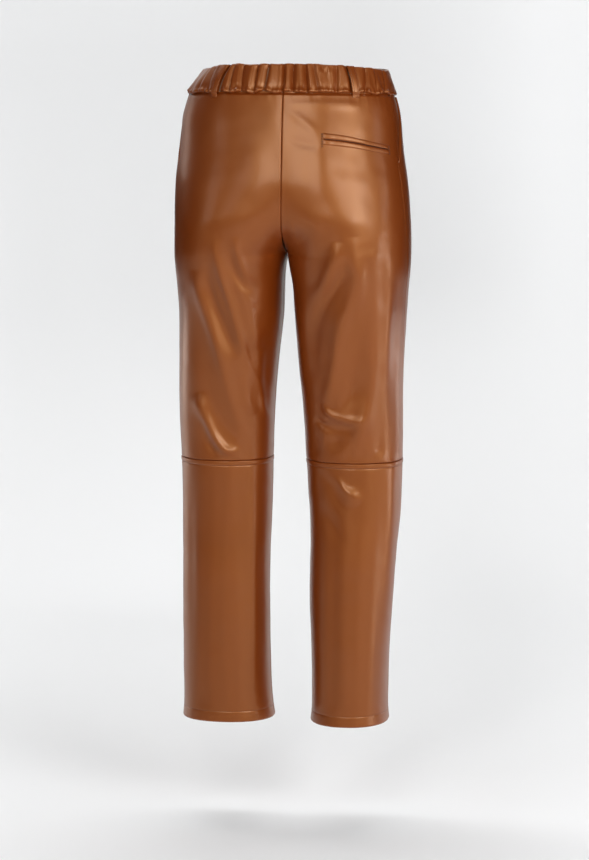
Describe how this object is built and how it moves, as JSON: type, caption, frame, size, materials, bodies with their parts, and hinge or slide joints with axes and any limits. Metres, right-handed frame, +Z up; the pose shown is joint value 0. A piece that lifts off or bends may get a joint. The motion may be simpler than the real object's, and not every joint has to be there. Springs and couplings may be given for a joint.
{
  "type": "faux leather trousers",
  "caption": "Straight, high-waisted faux leather trousers with a gathered back waistband and one back pocket, posed as worn.",
  "frame": {"origin": "middle of the waist opening, halfway up the waistband, where the wearer's waist holds the trousers up", "axes": "+Z up along the body, +X towards the wearer's left, -Y towards the front"},
  "size_m": [0.3566, 0.2357, 0.996],
  "materials": {
    "leather": "satin"
  },
  "bodies": {
    "root": {"back_upper_left": "leather", "back_upper_right": "leather", "front_upper_left": "leather", "front_upper_right": "leather", "back_lower_left": "leather", "back_lower_right": "leather", "front_lower_left": "leather", "front_lower_right": "leather", "waistband_back": "leather", "waistband_front": "leather", "belt_loop_back_left": "leather", "belt_loop_back_right": "leather", "belt_loop_front_left": "leather", "belt_loop_front_right": "leather", "pocket_welt_upper": "leather", "pocket_welt_lower": "leather", "pocket_facing_left": "leather", "pocket_facing_right": "leather"}
  },
  "joints": []
}
